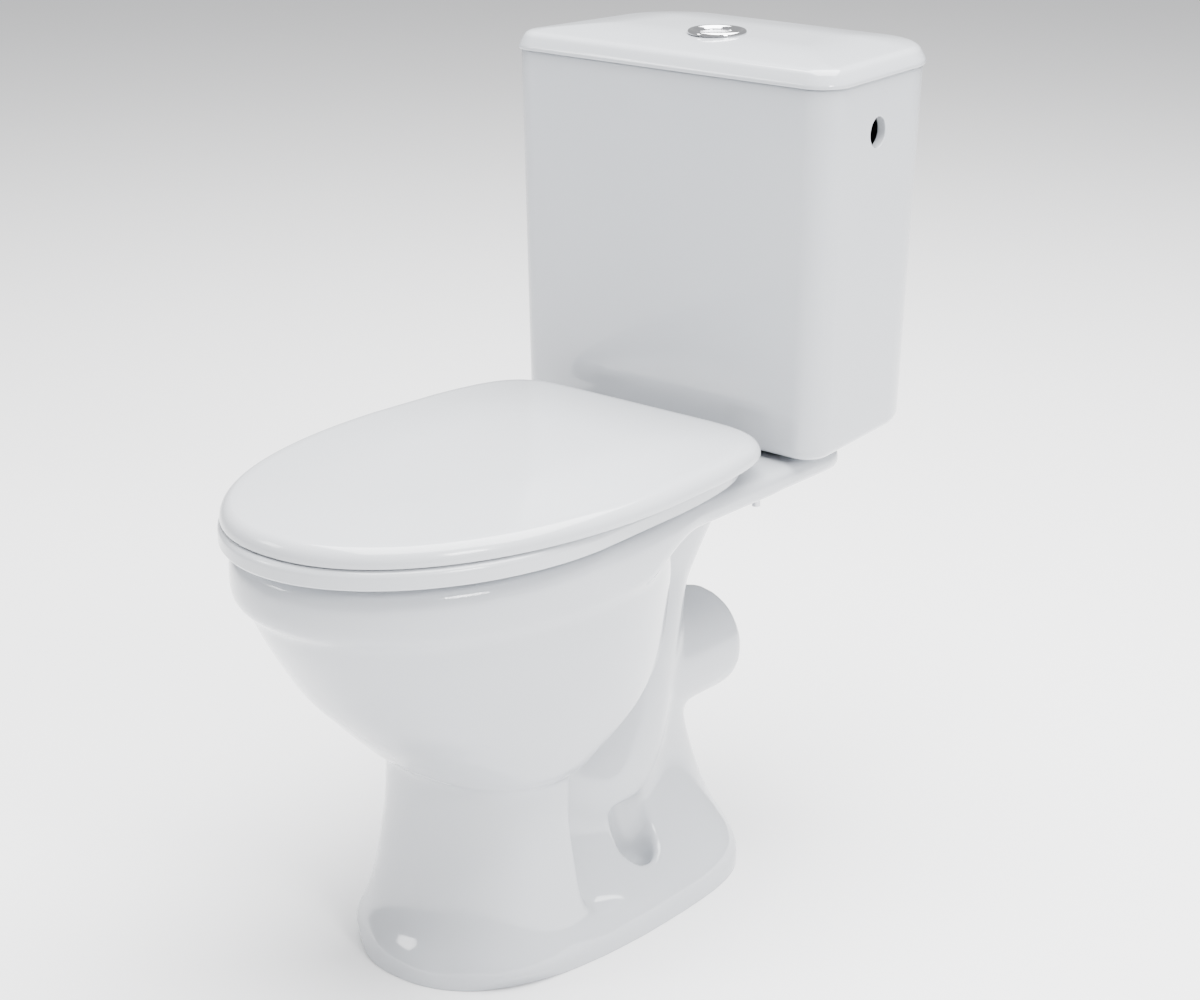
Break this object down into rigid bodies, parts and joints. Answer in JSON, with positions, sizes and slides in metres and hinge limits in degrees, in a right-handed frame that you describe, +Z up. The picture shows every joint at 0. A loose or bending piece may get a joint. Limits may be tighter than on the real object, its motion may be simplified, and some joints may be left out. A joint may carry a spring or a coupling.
{
  "type": "close coupled toilet",
  "caption": "Close coupled toilet with open-rim pan, horizontal outlet, hinged seat and lid, and a cistern with a dual push-button flush.",
  "frame": {"origin": "on the floor on the mid-plane, halfway between the front of the seat and the back of the cistern lid", "axes": "+Z up, -Y out to the front of the bowl, +Y back to the wall, +X to the sitter's left as seen from behind"},
  "size_m": [0.3656, 0.692, 0.7533],
  "materials": {
    "pan": "gloss",
    "cistern_body": "gloss",
    "cistern_lid": "gloss",
    "seat_ring": "gloss",
    "seat_lid": "gloss",
    "button_bezel": "polished",
    "button_full": "polished",
    "button_half": "polished",
    "hinge_post_left": "polished",
    "hinge_post_right": "polished",
    "hinge_pin_left": "zinc plated",
    "hinge_pin_right": "zinc plated",
    "cistern_bolt_left": "zinc plated",
    "cistern_bolt_right": "zinc plated",
    "button_nut": "satin",
    "flush_valve_base": "satin",
    "flush_valve_nut": "satin",
    "flush_valve_cage": "satin",
    "overflow_tube": "satin",
    "fill_valve_shank": "satin",
    "fill_valve_nut": "satin",
    "fill_outlet_tube": "satin",
    "float_arm": "satin",
    "hinge_wing_nut_left": "satin",
    "hinge_wing_nut_right": "satin",
    "cistern_wing_nut_left": "satin",
    "cistern_wing_nut_right": "satin",
    "float_cup": "satin",
    "seat_buffer_front_left": "matte",
    "seat_buffer_front_right": "matte",
    "seat_buffer_rear_left": "matte",
    "seat_buffer_rear_right": "matte",
    "cover_buffer_left": "matte",
    "cover_buffer_right": "matte",
    "flush_valve_washer": "matte",
    "flush_seal": "matte",
    "coupling_gasket": "matte",
    "fill_valve_washer": "matte",
    "cistern_washer_left": "matte",
    "cistern_washer_right": "matte",
    "cistern_pad_left": "matte",
    "cistern_pad_right": "matte",
    "hinge_washer_left": "matte",
    "hinge_washer_right": "matte"
  },
  "bodies": {
    "frame": {"pan": "pan", "cistern_body": "cistern_body", "cistern_lid": "cistern_lid", "button_bezel": "button_bezel", "hinge_post_left": "hinge_post_left", "hinge_post_right": "hinge_post_right", "hinge_pin_left": "hinge_pin_left", "hinge_pin_right": "hinge_pin_right", "cistern_bolt_left": "cistern_bolt_left", "cistern_bolt_right": "cistern_bolt_right", "button_nut": "button_nut", "flush_valve_base": "flush_valve_base", "flush_valve_nut": "flush_valve_nut", "flush_valve_cage": "flush_valve_cage", "fill_valve_shank": "fill_valve_shank", "fill_valve_nut": "fill_valve_nut", "fill_outlet_tube": "fill_outlet_tube", "hinge_wing_nut_left": "hinge_wing_nut_left", "hinge_wing_nut_right": "hinge_wing_nut_right", "cistern_wing_nut_left": "cistern_wing_nut_left", "cistern_wing_nut_right": "cistern_wing_nut_right", "flush_valve_washer": "flush_valve_washer", "coupling_gasket": "coupling_gasket", "fill_valve_washer": "fill_valve_washer", "cistern_washer_left": "cistern_washer_left", "cistern_washer_right": "cistern_washer_right", "cistern_pad_left": "cistern_pad_left", "cistern_pad_right": "cistern_pad_right", "hinge_washer_left": "hinge_washer_left", "hinge_washer_right": "hinge_washer_right"},
    "seat": {"seat_ring": "seat_ring", "seat_buffer_front_left": "seat_buffer_front_left", "seat_buffer_front_right": "seat_buffer_front_right", "seat_buffer_rear_left": "seat_buffer_rear_left", "seat_buffer_rear_right": "seat_buffer_rear_right"},
    "cover": {"seat_lid": "seat_lid", "cover_buffer_left": "cover_buffer_left", "cover_buffer_right": "cover_buffer_right"},
    "flush_lift": {"overflow_tube": "overflow_tube", "flush_seal": "flush_seal"},
    "float": {"float_arm": "float_arm", "float_cup": "float_cup"},
    "full_plate": {"button_full": "button_full"},
    "half_plate": {"button_half": "button_half"}
  },
  "joints": [
    {"name": "seat_hinge", "type": "hinge", "parent": "frame", "child": "seat", "pos_m": [0, 0.1, 0.418], "axis": [-1, 0, 0], "range_deg": [0, 92]},
    {"name": "lid_hinge", "type": "hinge", "parent": "seat", "child": "cover", "pos_m": [0, 0.1, 0.418], "axis": [1, 0, 0], "range_deg": [-92, 0]},
    {"name": "full_button_press", "type": "slide", "parent": "frame", "child": "full_plate", "axis": [0, 0, -1], "range_m": [0, 0.007], "stiffness_N_per_m": 250, "springref_m": -0.002},
    {"name": "half_button_press", "type": "slide", "parent": "frame", "child": "half_plate", "axis": [0, 0, -1], "range_m": [0, 0.007], "stiffness_N_per_m": 250, "springref_m": -0.002},
    {"name": "flush_lift", "type": "slide", "parent": "frame", "child": "flush_lift", "axis": [0, 0, 1], "range_m": [0, 0.021]},
    {"name": "float_swing", "type": "hinge", "parent": "frame", "child": "float", "pos_m": [-0.09524, 0.223, 0.6815], "axis": [1, 0, 0], "range_deg": [0, 35]}
  ],
  "couplings": [
    {"joint": "flush_lift", "follows": "full_button_press", "ratio": 3}
  ]
}
